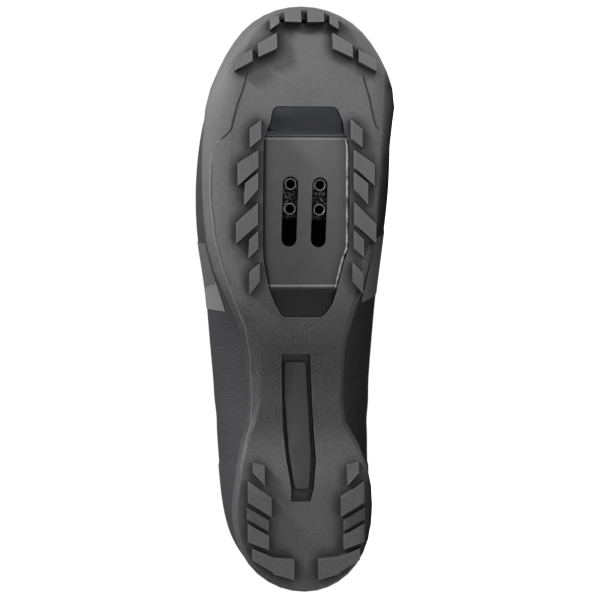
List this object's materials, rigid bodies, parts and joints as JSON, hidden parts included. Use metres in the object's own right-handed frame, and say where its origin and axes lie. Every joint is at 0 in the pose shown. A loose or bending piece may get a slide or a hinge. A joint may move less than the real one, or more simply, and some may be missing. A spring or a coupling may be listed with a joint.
{
  "type": "cycling shoe",
  "caption": "Off-road cycling shoe, right foot, with a lugged rubber sole, a recessed cleat seat with slots, and a low strapped upper, lying on its side.",
  "frame": {"origin": "middle of the bounding box in plan, at the lowest point: the shoe lies on its medial side on the plane z = 0", "axes": "+X from heel to toe, +Y from the tread up through the collar, +Z from the medial side to the lateral side"},
  "size_m": [0.2806, 0.118, 0.0944],
  "materials": {
    "rubber": "matt",
    "nylon": "gloss",
    "steel": "satin",
    "insert": "satin",
    "foam": "matt",
    "upper_shell": "satin",
    "overlay_film": "satin",
    "lining": "matt",
    "webbing": "matt"
  },
  "bodies": {
    "shoe": {"outsole": "rubber", "sole_plate": "nylon", "arch_insert": "insert", "insole": "foam", "upper": "upper_shell", "overlay_lateral": "overlay_film", "overlay_medial": "overlay_film", "tongue": "lining", "strap_upper": "webbing", "strap_lower": "webbing"},
    "nut_plate": {"cleat_nut_plate": "steel"}
  },
  "joints": [
    {"name": "cleat_slide", "type": "slide", "parent": "shoe", "child": "nut_plate", "axis": [0.9996, 0.003, 0.0265], "range_m": [-0.0143, 0]}
  ]
}
